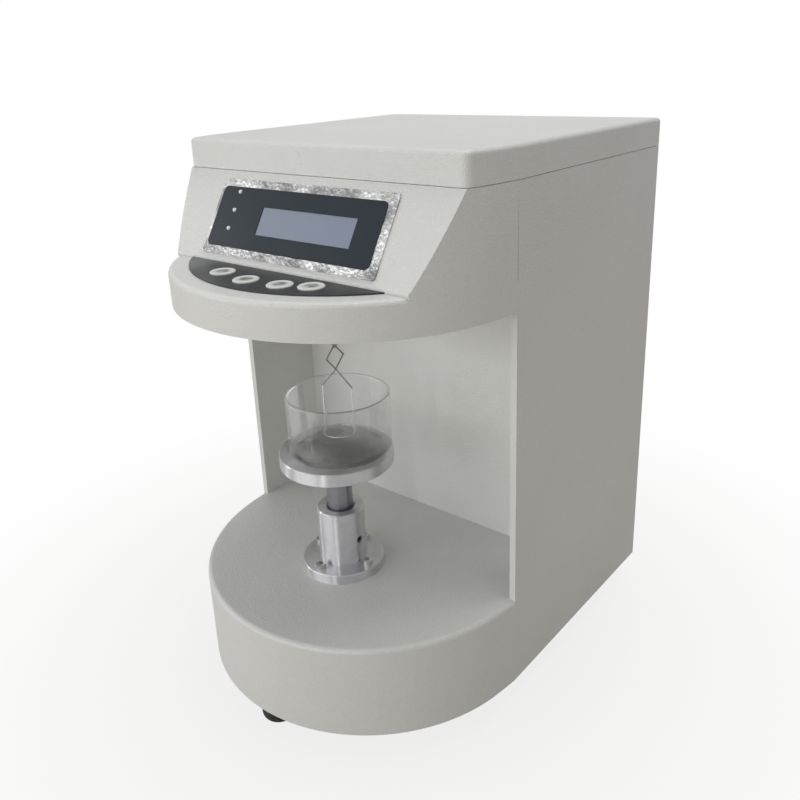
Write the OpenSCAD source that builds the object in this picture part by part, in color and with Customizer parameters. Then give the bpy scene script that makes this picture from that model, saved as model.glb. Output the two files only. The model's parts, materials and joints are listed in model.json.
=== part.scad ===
// Surface tensiometer: a D-plan bench instrument with a motor-lifted sample
// stage in its work recess and a measuring ring that hangs from a balance.
// X to the right, Y to the back, Z up. Origin: middle of the footprint, on the bench.

/* [Body] */
// Width of the body
body_w = 220; // [210:1:240]
// Depth of the straight sides, behind the curved front
side_len = 168; // [160:1:190]
// Depth of the curved front
nose_len = 110; // [108:1:114]
// Angle by which the front flats turn in, where the sides end
nose_angle = 7; // [5:0.5:9]
// Height of the base under the work recess
base_h = 58; // [54:1:70]
// Height of the work recess
gap_h = 177; // [172:1:200]
// Height of the head, from its underside to the lid seam
head_h = 68; // [62:1:80]
// Height of the keypad shelf above the underside of the head
shelf_up = 20; // [18:1:24]
// Height of the lid
lid_h = 17.5; // [14:0.5:22]
// Wall of the body shell
wall = 3; // [2.5:0.25:4]
// Thickness of the side cheeks beside the recess
cheek = 4; // [3.5:0.25:6]
// Depth of the recess behind the end of the sides
recess_depth = 55; // [45:1:65]
// Rounding of the base and shelf rims
rim_r = 3; // [2:0.25:4]
// Rounding of the lid's edges
lid_r = 2.5; // [1.5:0.25:3]
// How far the foot of the slanted panel lies in front of the sides
panel_foot = 63; // [58:1:66]
// How far the lid's front lies in front of the sides
lid_out = 36; // [30:1:40]
// Rounding of the lip at the foot of the slanted panel
lip_r = 2.4; // [2:0.1:3]

/* [Feet and plates] */
// Height of the body above the bench
foot_h = 16; // [12:1:20]
// Diameter of a levelling foot
foot_d = 22; // [18:1:28]
// Diameter of a foot's stud
stud_d = 8; // [6:1:10]
// Distance of the front foot from the front of the body
foot_in = 16; // [14:1:20]
// Distance of the rear feet from the back of the body
rear_foot_in = 28; // [24:1:32]
// Spacing of the rear feet
rear_foot_gap = 160; // [150:1:170]
// Thickness of the bottom plate
plate_t = 2; // [1.5:0.25:3]
// Thickness of the rear panel and the recess panel
panel_t = 1.5; // [1:0.25:2]
// How far the rear panel is set in
rear_in = 3; // [3:0.25:4]

/* [Sample stage] */
// Distance of the stage axis in front of the sides
stage_out = 30.5; // [28:0.5:36]
// Diameter of the flange
flange_d = 52; // [50:1:58]
// Thickness of the flange
flange_t = 6; // [5:0.5:8]
// Diameter of the guide sleeve
sleeve_d = 30; // [28:0.5:32]
// Height of the sleeve above the flange
sleeve_h = 35; // [32:1:38]
// Diameter of the lift shaft
shaft_d = 16; // [15:0.5:17]
// Bore of the hollow lift shaft
shaft_bore = 10; // [9.5:0.25:10.5]
// Height of the tray's underside above the sleeve, at rest
tray_up = 31; // [30:0.5:34]
// Diameter of the tray
tray_d = 70; // [66:1:76]
// Thickness of the tray
tray_t = 8; // [7:0.5:10]
// Travel of the stage below its rest height
lift_down = 28; // [20:1:28]
// Diameter of the sample dish
dish_d = 63; // [58:1:66]
// Height of the sample dish
dish_h = 37; // [34:1:40]
// Wall of the sample dish
dish_wall = 2; // [1.5:0.25:2.5]
// Sideways place of the dish on the tray
dish_x = 2; // [0:0.5:2]
// Place of the dish on the tray, towards the back
dish_y = 2; // [0:0.5:2]

/* [Measuring ring] */
// Mean diameter of the measuring ring
ring_d = 19.1; // [18:0.1:20]
// Wire diameter of the ring and its legs
ring_wire = 0.6; // [0.4:0.1:0.8]
// Wire diameter of the stirrup
stirrup_wire = 0.9; // [0.7:0.1:1]
// Height of the ring above the inside bottom of the dish
ring_up = 8.4; // [8:0.2:10]
// Height of the stirrup's bar above the ring
leg_h = 29.4; // [26:0.2:32]
// Height of the stirrup's arms
arm_h = 10.7; // [9:0.1:12]
// Height of the stirrup's diamond loop
loop_h = 15.4; // [14:0.2:16]
// Width of the diamond loop
loop_w = 12.9; // [11:0.1:14]
// Turn of the ring's legs about the vertical
ring_turn = 18; // [0:1:30]
// Turn of the diamond loop about the vertical
loop_turn = 84; // [70:1:100]

/* [Display and keys] */
// Width of the display bezel
bezel_w = 133; // [125:1:140]
// Height of the bezel, along the slanted panel
bezel_h = 45.5; // [42:0.5:46]
// Distance of the bezel below the lid seam, along the panel
bezel_drop = 5.3; // [5:0.1:6]
// Width of the dark window
window_w = 125; // [118:1:128]
// Height of the window
window_h = 36; // [32:0.5:38]
// Width of the display
lcd_w = 71; // [60:1:74]
// Height of the display
lcd_h = 16.5; // [14:0.5:18]
// Sideways place of the display from the middle of the window
lcd_x = 8.8; // [5:0.2:12]
// Radius of the keypad's front edge
pad_r = 97.5; // [94:0.5:100]
// Radius on which the keys lie
key_r = 83.5; // [82:0.5:86]
// Diameter of a key
key_d = 14; // [12:0.5:15]
// Angles of the four keys from the front, towards the right
key_angles = [-19, -2, 14, 26]; // [-40:1:40]
// Travel of a key
key_travel = 0.5; // [0.3:0.05:0.6]

/* [Hidden] */
$fn = 64;
// clearances: a running fit, a loose fit between bodies, and the cut-through of a hole
run = 0.05;
gap = 0.3;
eps = 0.02;
// the front flats stand this proud of the turned front, and end this far before the sides,
// which start further forward: so no faces are tangent and no corners coincide
proud = 0.12;
flat_short = 1.1;
side_early = 1.25;

// plan of the body: half width, radius and centre of the curved front, length of its flats
half_w = body_w / 2;
nose_c = (nose_len - half_w * cos(nose_angle)) / (1 - sin(nose_angle));
nose_r = nose_len - nose_c;
flat_len = half_w * sin(nose_angle) + nose_c * cos(nose_angle);
side_y = nose_len - (nose_len + side_len) / 2;
back_y = side_y + side_len;
recess_y = side_y + recess_depth;

// levels
base_z = foot_h + base_h;
soffit_z = base_z + gap_h;
shelf_z = soffit_z + shelf_up;
seam_z = soffit_z + head_h;
top_z = seam_z + lid_h;
plate_z = foot_h + 0.4;
inner_z = plate_z + plate_t;

// slanted panel: its foot, its run for each unit of fall, and its tilt
foot_z = shelf_z + 3;
lip_sink = 1.5;
lip_proud = 0.2;
panel_run = (panel_foot - lid_out) / (seam_z - foot_z);
panel_tilt = atan(1 / panel_run);
function panel_y(z, inset) = side_y - lid_out - (seam_z - z) * panel_run
                             + inset * sqrt(1 + panel_run * panel_run);

// rear panel and its opening
rear_y = back_y - rear_in;
frame_t = rear_in + panel_t + 2;
rear_half = half_w - 8;
rear_low = foot_h + 8;
rear_high = seam_z - 12;

// stage
stage_y = side_y - stage_out;
flange_top = base_z + flange_t;
sleeve_top = flange_top + sleeve_h;
tray_z = sleeve_top + tray_up;
tray_top = tray_z + tray_t;
dish_floor = 3;
tray_stud_d = 8;
dish_pos = [dish_x, stage_y + dish_y];
motor_w = 42;
motor_h = 20;
motor_top = inner_z + motor_h;
nut_flange = 2;
shaft_low = motor_top + lift_down + nut_flange + 1.2;
bush_low = base_z - 18;
set_screw_z = flange_top + sleeve_h * 0.43;
guide_z = flange_top + 3.5;
slot_w = 3.8;
slot_end = 1.8;
slot_depth = 1.6;
flange_screw_r = (flange_d + sleeve_d) / 4;
screw_tip_d = 3;
screw_d = 8;
rise = 2;
screw_top = shaft_low + 22;

// measuring ring and its hanger
ring_z = tray_top + dish_floor + ring_up;
bar_z = ring_z + leg_h;
loop_low = bar_z + arm_h;
loop_top = loop_low + loop_h;
leg_wire = 0.8;
hook_wire = 1;
hook_r = 2;
loop_half = atan(loop_w / loop_h);
hook_z = loop_top - ((stirrup_wire + hook_wire) / 2 + run) / sin(loop_half) + hook_r;
hook_rod_d = 2.4;
hook_turn = loop_turn - 90;
hook_hole_d = 16;

// balance in the head
beam_z = soffit_z + wall + 31;
beam_w = 8;
beam_x = dish_pos[0] - 7;
pivot_y = dish_pos[1] + 40;
coil_y = pivot_y + 40;
pin_d = 3;
hanger_d = 2;
base_plate_t = 4;
balance_floor = soffit_z + wall;

// display
bezel_t = 0.8;
window_t = 1.2;
pad_t = 0.8;
pad_back = panel_foot + 1.2;
led_d = 2.4;
window_x = -1.6;
window_drop = bezel_drop + (bezel_h - window_h) / 2;
lcd_drop = window_drop + (window_h - lcd_h) / 2 + 0.6;
led_y = [for (i = [0:2]) -window_drop - window_h / 2 + 3.9 + (1 - i) * 11.1];
led_x = window_x - window_w / 2 + 14.4;
board_drop = wall + 5.4;
lid_corner = 4;

// board behind the recess, and the rear connectors
board_t = 1.6;
board_w = 120;
board_low = base_z + 30;
board_tall = 110;
standoff_h = 8;
port_z = foot_h + 52;
inlet_x = -62;
rocker_x = -14;
serial_x = 44;

front_foot = [0, side_y - nose_len + foot_in];
rear_feet = [[-rear_foot_gap / 2, back_y - rear_foot_in], [rear_foot_gap / 2, back_y - rear_foot_in]];
feet = [front_foot, rear_feet[0], rear_feet[1]];
nut_h = 6;

// ---------- outline of the body ----------

// section of a slab from its middle to its rim, with the top edge rounded
module rim_section(reach, h, rim) {
    if (rim > 0) {
        square([reach, h - rim]);
        square([reach - rim, h]);
        translate([reach - rim, h - rim]) circle(r = rim, $fn = 32);
    } else {
        square([reach, h]);
    }
}

// curved front of the D: a turned disc and the two flats that touch it
module nose(z, h, inset, rim) {
    flat_i = flat_len - inset * tan(nose_angle / 2) - flat_short;
    translate([0, side_y - nose_c, z]) {
        rotate_extrude($fn = 180) rim_section(nose_r - inset, h, rim);
        for (side = [0, 1])
            mirror([side, 0, 0])
                rotate([0, 0, -nose_angle])
                    translate([0, flat_i, 0])
                        rotate([90, 0, 0])
                            linear_extrude(flat_i) rim_section(nose_r - inset + proud, h, rim);
    }
}

// whole D from z upwards
module d_slab(z, h, inset, rim, back) {
    if (rim > 0) {
        nose(z, h, inset, rim);
        translate([-half_w + inset, side_y - side_early, z])
            cube([body_w - 2 * inset, back - side_y + side_early, h]);
    } else {
        translate([0, 0, z]) linear_extrude(h) d_plan(inset, back);
    }
}

// plan of the D, for the flat plates
module d_plan(inset, back) {
    r = nose_r - inset;
    translate([0, side_y - nose_c])
        intersection() {
            circle(r = r, $fn = 180);
            translate([-r, -r - 1]) square([2 * r, r + 1 - r * sin(nose_angle)]);
        }
    tangent = [r * cos(nose_angle), side_y - nose_c - r * sin(nose_angle)];
    kink = [half_w - inset, side_y + inset * tan(nose_angle / 2)];
    polygon([[-tangent[0], tangent[1]], [tangent[0], tangent[1]], kink, [kink[0], back],
             [-kink[0], back], [-kink[0], kink[1]]]);
}

// side view of the upper head, extruded across the body
module head_wedge(low, high) {
    lip_z = shelf_z + lip_r - lip_sink;
    lip_y = panel_y(lip_z, lip_r - lip_proud);
    lip_in = lip_r - lip_proud;
    rotate([90, 0, 90])
        translate([0, 0, -half_w - 1])
            linear_extrude(body_w + 2) {
                polygon([[panel_y(high, 0), high],
                         [lip_y - lip_in * sin(panel_tilt), lip_z + lip_in * cos(panel_tilt)],
                         [lip_y, lip_z], [lip_y, low], [back_y, low], [back_y, high]]);
                translate([lip_y, lip_z]) circle(r = lip_r, $fn = 40);
            }
}

// the same for the hollow behind the slanted panel
module wedge_hollow(low, high) {
    rotate([90, 0, 90])
        translate([0, 0, -half_w - 1])
            linear_extrude(body_w + 2)
                polygon([[panel_y(high, wall), high], [panel_y(low, wall), low],
                         [back_y, low], [back_y, high]]);
}

// puts children on the slanted panel: X across, Y up the slope, Z out of it, origin at the seam
module on_panel() {
    translate([0, side_y - lid_out, seam_z]) rotate([panel_tilt, 0, 0]) children();
}

module rounded_bar(w, h, t, r) {
    linear_extrude(t)
        translate([0, -h / 2]) {
            square([w - 2 * r, h], center = true);
            square([w, h - 2 * r], center = true);
            for (x = [-1, 1], y = [-1, 1])
                translate([x * (w / 2 - r), y * (h / 2 - r)]) circle(r = r, $fn = 32);
        }
}

module at(points) {
    for (p = points) translate(p) children();
}

function key_place(i) = [key_r * sin(key_angles[i - 1]),
                         side_y - nose_c - key_r * cos(key_angles[i - 1]), shelf_z];
keys = [for (i = [1:4]) key_place(i)];

boss_x = half_w - wall - 4;
boss_places = [[-boss_x, side_y + 10], [boss_x, side_y + 10], [-boss_x, back_y - 14],
               [boss_x, back_y - 14], [-60, side_y - 72], [60, side_y - 72]];
// posts that carry the display board and the keypad board
display_posts = [for (x = [-1, 1], y = [-1, 1])
    [window_x + x * 60.5, -window_drop - window_h / 2 + y * 17.5, 0]];
key_posts = [for (a = [key_angles[0] - 9, (key_angles[0] + key_angles[1]) / 2,
                       (key_angles[1] + key_angles[2]) / 2, key_angles[3] + 9])
    [key_r * sin(a), side_y - nose_c - key_r * cos(a), shelf_z - wall - 3.4]];
rear_screw_places = [for (x = [-1, 1], z = [0, 0.5, 1])
    [x * (rear_half - 5), rear_low + 5 + z * (rear_high - rear_low - 10)]];
lid_screw_x = 70;

// ---------- shells and plates ----------

// one-piece outer shell: base, cheeks, head with its slanted panel, and the keypad shelf
module body_shell() {
    color("gainsboro")
    difference() {
        union() {
            difference() {
                union() {
                    d_slab(foot_h, base_h, 0, rim_r, back_y);
                    nose(soffit_z, shelf_up, 0, rim_r);
                    translate([-half_w, side_y - side_early, foot_h])
                        cube([body_w, side_len + side_early, seam_z - foot_h]);
                    intersection() {
                        d_slab(soffit_z, head_h + 2, 0, 0, back_y);
                        head_wedge(soffit_z, seam_z);
                    }
                }
                // work recess
                translate([-half_w + cheek, side_y - 3, base_z])
                    cube([body_w - 2 * cheek, recess_depth + 3, gap_h]);
                // hollow base, column and head
                d_slab(foot_h - 1, base_h + 1 - wall, wall, 0, back_y - frame_t);
                translate([-half_w + wall, recess_y, foot_h])
                    cube([body_w - 2 * wall, side_len - recess_depth - frame_t, head_h + seam_z]);
                d_slab(soffit_z + wall, shelf_up - 2 * wall, wall, 0, back_y - frame_t);
                intersection() {
                    d_slab(soffit_z + wall, head_h, wall, 0, back_y - frame_t);
                    wedge_hollow(shelf_z - wall - 1, seam_z + 1);
                }
            }
            // ledges that the recess panel is fixed to
            for (x = [-1, 1])
                translate([x * (half_w - wall - 4.5) - 5, recess_y + panel_t, base_z - 1])
                    cube([10, 2, gap_h + 2]);
            // bosses for the bottom plate's screws
            at([for (p = boss_places) [p[0], p[1], inner_z]])
                cylinder(d = 10, h = base_z - wall - inner_z + 1);
            on_panel() at(display_posts) translate([0, 0, -board_drop]) cylinder(d = 6, h = board_drop - 1);
            at(key_posts) cylinder(d = 5, h = 4.4);
        }
        // openings for the guide bush, the hanger, the display and the keys' stems
        translate([0, stage_y, base_z - wall - 1]) cylinder(d = sleeve_d + 2 * gap, h = wall + 2);
        translate([dish_pos[0], dish_pos[1], soffit_z - 1]) cylinder(d = hook_hole_d, h = wall + 2);
        on_panel()
            translate([window_x, -window_drop - 1.2, -wall - 1])
                rounded_bar(window_w - 8, window_h - 2.4, wall + 2, 2);
        at(keys) translate([0, 0, -wall - 1]) cylinder(d = 5, h = wall + 2);
        at([for (p = boss_places) [p[0], p[1], inner_z - 1]]) cylinder(d = 3.4, h = 16);
        for (a = [0:3]) translate([0, stage_y, base_z - wall - 1])
            rotate([0, 0, a * 90]) translate([flange_screw_r, 0, 0]) cylinder(d = 3.4, h = wall + 2);
        // rebate and opening of the rear panel
        translate([-rear_half, rear_y - panel_t, rear_low])
            cube([2 * rear_half, rear_in + panel_t + 1, rear_high - rear_low]);
        translate([-rear_half + 10, back_y - frame_t - 1, rear_low + 10])
            cube([2 * rear_half - 20, frame_t + 2, rear_high - rear_low - 20]);
        for (p = rear_screw_places)
            translate([p[0], rear_y + 1, p[1]]) rotate([90, 0, 0]) cylinder(d = 2.6, h = 12);
        for (x = [-1, 1])
            translate([x * lid_screw_x, back_y, seam_z - 6]) rotate([90, 0, 0]) {
                cylinder(d1 = 7.6, d2 = 4, h = 2);
                cylinder(d = 4, h = 20);
            }
    }
}

// right half of the lid's outline, set in all round: from its front corner, which is rounded, back
function lid_half(inset) =
    let (r = nose_r - inset, y0 = side_y - lid_out + inset, yc = side_y - nose_c,
         a0 = asin((y0 - yc) / r), corner = [r * cos(a0), y0], d = lid_corner,
         in = [corner[0] - d, y0], along = [corner[0] - d * sin(a0), y0 + d * cos(a0)])
    concat([for (t = [0:0.2:1]) (1 - t) * (1 - t) * in + 2 * t * (1 - t) * corner + t * t * along],
           [for (i = [1:7]) let (a = a0 + 2 + (-nose_angle - a0 - 2) * i / 7)
               [r * cos(a), yc + r * sin(a)]],
           [[half_w - inset, side_y + inset * tan(nose_angle / 2)], [half_w - inset, back_y - inset]]);

function lid_ring(inset) = let (right = lid_half(inset))
    concat(right, [for (i = [len(right) - 1:-1:0]) [-right[i][0], right[i][1]]]);

module lid_plan(inset) {
    polygon(lid_ring(inset));
}

// block whose outline is set in from level to level; each level is [height, inset]
module lid_block(levels) {
    n = len(lid_ring(0));
    m = len(levels);
    points = [for (l = levels) for (p = lid_ring(l[1])) [p[0], p[1], l[0]]];
    walls = [for (k = [0:m - 2], i = [0:n - 1], t = [0, 1]) let (j = (i + 1) % n)
        t == 0 ? [k * n + i, (k + 1) * n + i, (k + 1) * n + j] : [k * n + i, (k + 1) * n + j, k * n + j]];
    polyhedron(points = points, faces = concat([[for (i = [0:n - 1]) i]],
        [[for (i = [n - 1:-1:0]) (m - 1) * n + i]], walls), convexity = 4);
}

// lid: a hollow tray turned upside down, with a locating lip inside its rim
module lid() {
    seat = seam_z + gap;
    rear = back_y - frame_t - 2 - gap;
    rounding = [for (a = [90:-15:0]) [top_z - lid_r * (1 - cos(a)), lid_r * (1 - sin(a))]];
    color("gainsboro")
    difference() {
        union() {
            lid_block(concat([[seat, 0]], rounding));
            translate([0, 0, seam_z - 5]) linear_extrude(8)
                intersection() {
                    lid_plan(wall * 1.2 + gap);
                    translate([-half_w, -body_w]) square([body_w, body_w + rear]);
                }
            for (x = [-1, 1]) translate([x * lid_screw_x - 8, rear, seam_z - 11]) cube([16, 2, 14]);
        }
        translate([0, 0, seam_z - 6]) linear_extrude(top_z - wall - seam_z + 6)
            intersection() {
                lid_plan(wall * 1.2 + 2.2);
                translate([-half_w, -body_w]) square([body_w, body_w + rear - 2]);
            }
        for (x = [-1, 1])
            translate([x * lid_screw_x, back_y, seam_z - 6]) rotate([90, 0, 0])
                cylinder(d = 2.6, h = 20);
    }
}

module bottom_plate() {
    color("silver")
    difference() {
        translate([0, 0, plate_z]) linear_extrude(plate_t) d_plan(wall + gap, back_y - frame_t - gap);
        at([for (p = feet) [p[0], p[1], plate_z - 1]]) cylinder(d = stud_d + 1, h = plate_t + 2);
        at([for (p = boss_places) [p[0], p[1], plate_z - 1]]) cylinder(d = 4.4, h = plate_t + 2);
        for (x = [-1, 1], y = [-1, 1])
            translate([x * 15.5, stage_y + y * 15.5, plate_z - 1]) cylinder(d = 3.4, h = plate_t + 2);
        // cooling slots under the power supply
        for (i = [0:9])
            translate([-46 + i * 10, side_y + 78, plate_z - 1]) cube([4, 40, plate_t + 2]);
    }
}

module rear_panel() {
    color("gainsboro")
    difference() {
        translate([-rear_half + gap, rear_y - panel_t, rear_low + gap])
            cube([2 * (rear_half - gap), panel_t, rear_high - rear_low - 2 * gap]);
        translate([inlet_x - 13.7, rear_y - panel_t - 1, port_z - 9.9]) cube([27.4, panel_t + 2, 19.8]);
        translate([rocker_x - 9.7, rear_y - panel_t - 1, port_z - 6.5]) cube([19.4, panel_t + 2, 13]);
        translate([serial_x - 9.6, rear_y - panel_t - 1, port_z - 5.6]) cube([19.2, panel_t + 2, 11.2]);
        for (p = rear_screw_places)
            translate([p[0], rear_y + 1, p[1]]) rotate([90, 0, 0]) cylinder(d = 3.4, h = panel_t + 2);
        // ventilation slots, low and high
        for (row = [rear_low + 90, rear_high - 60], i = [0:13])
            translate([-54 + i * 8, rear_y - panel_t - 1, row]) cube([3, panel_t + 2, 30]);
    }
}

module recess_back_panel() {
    color("gainsboro")
    translate([-half_w + wall + gap, recess_y, base_z - 2])
        cube([body_w - 2 * (wall + gap), panel_t, gap_h + 4]);
}

// ---------- display and keypad ----------

module display_bezel() {
    color("silver")
    on_panel() translate([0, -bezel_drop, 0])
        difference() {
            rounded_bar(bezel_w, bezel_h, bezel_t, 2);
            translate([window_x, -(bezel_h - window_h) / 2, -1])
                rounded_bar(window_w + 2 * 0.1, window_h + 2 * 0.1, bezel_t + 2, 3);
        }
}

module display_window() {
    color([0.12, 0.14, 0.18])
    on_panel()
        difference() {
            translate([window_x, -window_drop, 0]) rounded_bar(window_w, window_h, window_t, 3);
            translate([lcd_x - lcd_w / 2, -lcd_drop - lcd_h, -1])
                cube([lcd_w, lcd_h, window_t + 2]);
            for (y = led_y) translate([led_x, y, -1]) cylinder(d = led_d + 0.2, h = window_t + 2);
        }
}

module lcd_screen() {
    color([0.55, 0.56, 0.68])
    on_panel()
        translate([lcd_x - lcd_w / 2 + 0.1, -lcd_drop - lcd_h + 0.1, 0])
            translate([0, 0, -wall - 1])
                cube([lcd_w - 0.2, lcd_h - 0.2, wall + 1 + window_t - 0.4]);
}

module status_leds() {
    color("white")
    on_panel()
        for (y = led_y)
            translate([led_x, y, -wall - 1]) {
                cylinder(d = led_d, h = wall + 1 + window_t - 0.2, $fn = 32);
                translate([0, 0, wall + 1 + window_t - 0.2]) sphere(d = led_d + 0.1, $fn = 32);
            }
}

// display board with its metal frame, behind the panel
module lcd_module() {
    color("darkgreen")
    on_panel()
        translate([0, -window_drop - window_h / 2, -board_drop - board_t]) {
            translate([window_x - 65, -20.5, 0]) cube([130, 41, board_t]);
            translate([lcd_x - 40, -13, board_t]) cube([80, 26, board_drop - wall - 1]);
            for (y = led_y) translate([led_x - 2, y + window_drop + window_h / 2 - 2, board_t])
                cube([4, 4, board_drop - wall - 1]);
        }
}

// crescent membrane on the shelf, with a well for each key
module keypad_membrane() {
    color([0.1, 0.1, 0.11])
    difference() {
        translate([0, 0, shelf_z])
            linear_extrude(pad_t)
                intersection() {
                    translate([0, side_y - nose_c]) circle(r = pad_r, $fn = 180);
                    translate([-half_w, side_y - half_w]) square([body_w, half_w - pad_back]);
                }
        at(keys) translate([0, 0, -1]) cylinder(d = key_d + 2 * gap, h = pad_t + 2);
    }
}

// key: a round cap with a shallow crown, and the stem under it that works the switch
module key(i) {
    color([0.75, 0.76, 0.74])
    translate(key_place(i)) {
        translate([0, 0, key_travel + 0.1])
            rotate_extrude(convexity = 4)
                polygon([[0, 0], [key_d / 2, 0], [key_d / 2, 0.7], [key_d / 2 - 0.5, 1.1],
                         [key_d / 2 - 1.6, 1.1], [key_d / 2 - 2, 0.9], [0, 1]]);
        translate([0, 0, -wall - 0.8]) cylinder(d = 4, h = wall + 0.9 + key_travel + eps, $fn = 32);
    }
}

board_z = shelf_z - wall - 5;
module keypad_board() {
    color("darkgreen")
    translate([0, 0, board_z])
        linear_extrude(board_t)
            intersection() {
                translate([0, side_y - nose_c]) circle(r = pad_r - 4, $fn = 180);
                translate([-half_w, side_y - half_w]) square([body_w, half_w - pad_back + 3]);
            }
}

module key_switches() {
    color("dimgray")
    at(keys)
        translate([0, 0, board_z - shelf_z + board_t]) {
            translate([-3, -3, 0]) cube([6, 6, 1.2]);
            cylinder(d = 3.4, h = 5 - board_t - 0.85 - key_travel, $fn = 32);
        }
}

// ---------- sample stage ----------

// flange and sleeve, turned in one piece, with a spigot through the base's top
module guide_bush() {
    color([0.78, 0.79, 0.8])
    difference() {
        translate([0, stage_y, 0])
            rotate_extrude($fn = 96)
                polygon([[shaft_d / 2 + run, bush_low], [sleeve_d / 2, bush_low],
                         [sleeve_d / 2, base_z], [flange_d / 2, base_z],
                         [flange_d / 2, flange_top - 0.6], [flange_d / 2 - 0.6, flange_top],
                         [sleeve_d / 2, flange_top], [sleeve_d / 2, sleeve_top - 0.8],
                         [sleeve_d / 2 - 0.8, sleeve_top], [shaft_d / 2 + 1.4, sleeve_top],
                         [shaft_d / 2 + run, sleeve_top - 1.4]]);
        translate([0, stage_y, set_screw_z]) rotate([0, 90, 0]) cylinder(d = 5, h = sleeve_d);
        translate([0, stage_y, guide_z]) rotate([0, -90, 0]) cylinder(d = 5, h = sleeve_d);
        for (a = [0:3]) translate([0, stage_y, base_z - 1])
            rotate([0, 0, a * 90]) translate([flange_screw_r, 0, 0]) cylinder(d = 4.4, h = flange_t + 2);
    }
}

module cap_screw(d, head_d, head_h, len) {
    difference() {
        union() {
            translate([0, 0, -len]) cylinder(d = d, h = len + eps, $fn = 32);
            cylinder(d = head_d, h = head_h, $fn = 40);
        }
        translate([0, 0, head_h * 0.4]) cylinder(d = head_d * 0.55, h = head_h, $fn = 6);
    }
}

module flange_screws() {
    color([0.3, 0.3, 0.32])
    for (a = [0:3])
        translate([0, stage_y, flange_top]) rotate([0, 0, a * 90]) translate([flange_screw_r, 0, 0])
            cap_screw(3.2, 6, 3, flange_t + wall + 3);
}

// two set screws in the sleeve; the rear one's tip runs in the shaft's slot and stops it turning
module sleeve_screws() {
    tip = shaft_d / 2 - slot_depth + 0.4;
    color([0.3, 0.3, 0.32])
    for (side = [0, 1])
        translate([0, stage_y, side == 0 ? set_screw_z : guide_z]) rotate([0, side == 0 ? 90 : -90, 0])
            difference() {
                union() {
                    translate([0, 0, shaft_d / 2 + 0.5])
                        cylinder(d = 5, h = (sleeve_d - shaft_d) / 2 - 1.2, $fn = 40);
                    if (side == 1) translate([0, 0, tip]) cylinder(d = screw_tip_d, h = 3, $fn = 40);
                }
                translate([0, 0, sleeve_d / 2 - 3]) cylinder(d = 2.6, h = 5, $fn = 6);
            }
}

// hollow shaft, open at its foot, with the guide slot
module lift_shaft() {
    color([0.82, 0.82, 0.83])
    difference() {
        translate([0, stage_y, shaft_low]) cylinder(d = shaft_d, h = tray_z - shaft_low, $fn = 96);
        translate([0, stage_y, shaft_low - 1]) cylinder(d = shaft_bore, h = tray_z - shaft_low - 11);
        translate([0, stage_y, tray_z - 9]) cylinder(d = tray_stud_d, h = 10);
        translate([-shaft_d / 2 - 1, stage_y - slot_w / 2, guide_z - rise - slot_end])
            cube([slot_depth + 1, slot_w, lift_down + rise + 2 * slot_end]);
    }
}

module lift_nut() {
    color("goldenrod")
    translate([0, stage_y, shaft_low])
        difference() {
            union() {
                translate([0, 0, -nut_flange]) cylinder(d = shaft_d - 0.6, h = nut_flange);
                translate([0, 0, -eps]) cylinder(d = shaft_bore - 0.1, h = 12);
            }
            translate([0, 0, -nut_flange - 1]) cylinder(d = screw_d + 2 * run, h = 16);
        }
}

module tray() {
    r = tray_d / 2;
    color([0.78, 0.79, 0.8])
    translate([0, stage_y, 0])
        rotate_extrude($fn = 128)
            polygon([[tray_stud_d / 2, tray_z], [r - 0.5, tray_z], [r, tray_z + 0.5],
                     [r, tray_top - 0.5], [r - 0.5, tray_top], [0, tray_top],
                     [0, tray_top - 2], [tray_stud_d / 2, tray_top - 2]]);
}

// stud that joins the tray to the top of the shaft, blind in both
module tray_stud() {
    color([0.6, 0.6, 0.62])
    translate([0, stage_y, tray_z - 8.9]) cylinder(d = tray_stud_d, h = tray_t + 6.8);
}

// flat-bottomed glass dish with a rounded heel and a fire-polished rim
module sample_dish() {
    ro = dish_d / 2;
    ri = ro - dish_wall;
    color([0.8, 0.9, 0.9, 0.4])
    translate([dish_pos[0], dish_pos[1], tray_top])
        rotate_extrude($fn = 128)
            difference() {
                union() {
                    square([ro - 3, dish_h - dish_wall / 2]);
                    translate([0, 3]) square([ro, dish_h - 3 - dish_wall / 2]);
                    translate([ro - 3, 3]) circle(r = 3, $fn = 48);
                    translate([ro - dish_wall / 2, dish_h - dish_wall / 2])
                        circle(d = dish_wall, $fn = 32);
                }
                translate([-eps, dish_floor + 2]) square([ri + eps, dish_h]);
                translate([-eps, dish_floor]) square([ri - 2 + eps, 3]);
                translate([ri - 2, dish_floor + 2]) circle(r = 2, $fn = 40);
                translate([-5, -1]) square([5, dish_h + 2]);
            }
}

module lift_motor() {
    color([0.2, 0.2, 0.22])
    translate([0, stage_y, inner_z])
        difference() {
            union() {
                linear_extrude(motor_h - 2)
                    polygon([for (a = [0:7]) let (k = motor_w / 2, c = 5,
                        p = [[k, k - c], [k - c, k], [c - k, k], [-k, k - c],
                             [-k, c - k], [c - k, -k], [k - c, -k], [k, c - k]][a]) p]);
                cylinder(d = 22, h = motor_h - gap);
            }
            translate([0, 0, -1]) cylinder(d = screw_d + 2 * run, h = motor_h + 2);
            for (x = [-1, 1], y = [-1, 1]) translate([x * 15.5, y * 15.5, -1])
                cylinder(d = 2.6, h = 8);
        }
}

module lead_screw() {
    color("silver")
    translate([0, stage_y, inner_z + 1])
        cylinder(d = screw_d, h = screw_top - inner_z - 1, $fn = 64);
}

module motor_screws() {
    color("silver")
    for (x = [-1, 1], y = [-1, 1])
        translate([x * 15.5, stage_y + y * 15.5, plate_z]) mirror([0, 0, 1])
            cap_screw(2.5, 5.4, 1.8, 6);
}

// ---------- balance in the head ----------

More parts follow.
